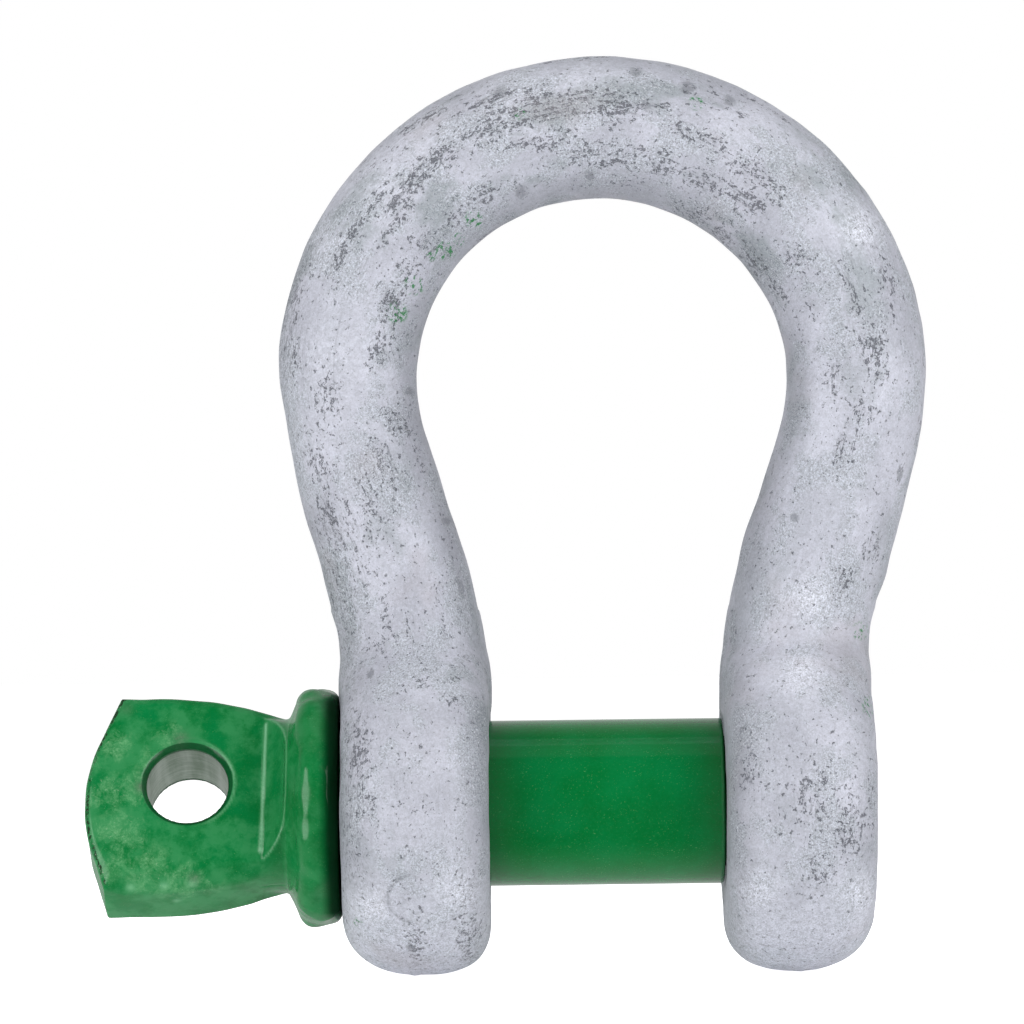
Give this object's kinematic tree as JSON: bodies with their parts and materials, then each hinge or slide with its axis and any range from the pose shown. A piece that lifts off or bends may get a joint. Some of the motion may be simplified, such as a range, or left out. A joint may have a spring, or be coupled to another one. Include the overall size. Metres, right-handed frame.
{
  "type": "bow shackle",
  "caption": "Bow shackle: a rounded steel bow with two ears, closed by a screw collar pin with a flat eye, which draws out along its own axis.",
  "frame": {"origin": "on the pin's axis, midway between the two ears", "axes": "+X runs along the pin to its threaded end, +Z from the pin to the crown of the bow, and Y is across the bow's thickness"},
  "size_m": [0.131, 0.0528, 0.1422],
  "materials": {
    "galvanised": "hot-dip galvanised forging, matte pale grey with dark speckled wear",
    "pin_paint": "glossy green paint, scuffed on the eye tab, bare steel inside the eye"
  },
  "bodies": {
    "bow": {"bow": "galvanised"},
    "pin": {"screw_pin": "pin_paint"}
  },
  "joints": [
    {"name": "pin_draw", "type": "slide", "parent": "bow", "child": "pin", "axis": [-1, 0, 0], "range_m": [0, 0.088]}
  ]
}
